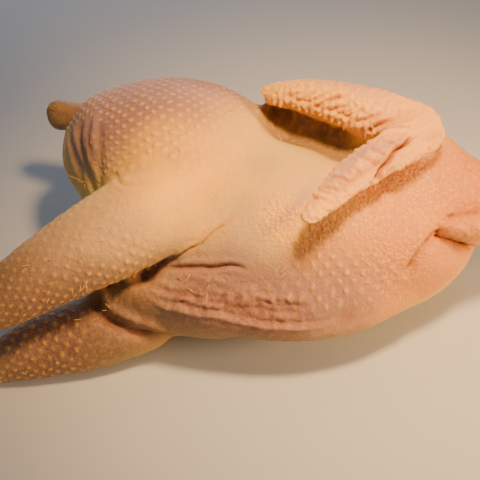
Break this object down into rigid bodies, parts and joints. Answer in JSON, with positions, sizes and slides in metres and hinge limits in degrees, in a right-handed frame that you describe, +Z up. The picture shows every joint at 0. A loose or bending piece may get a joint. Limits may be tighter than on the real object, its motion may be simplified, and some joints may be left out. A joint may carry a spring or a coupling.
{
  "type": "whole raw stewing hen",
  "caption": "Whole raw plucked stewing hen lying on its side, legs stretched back and the upper wing folded on its flank.",
  "frame": {"origin": "point of the table under the middle of the hen's bounding box", "axes": "+X towards the neck, -Y towards the breastbone, +Y towards the back, +Z up from the table"},
  "size_m": [0.2996, 0.15, 0.1013],
  "materials": {
    "skin": "moist raw poultry skin, soft satin sheen"
  },
  "bodies": {
    "root": {"hen": "skin"}
  },
  "joints": []
}
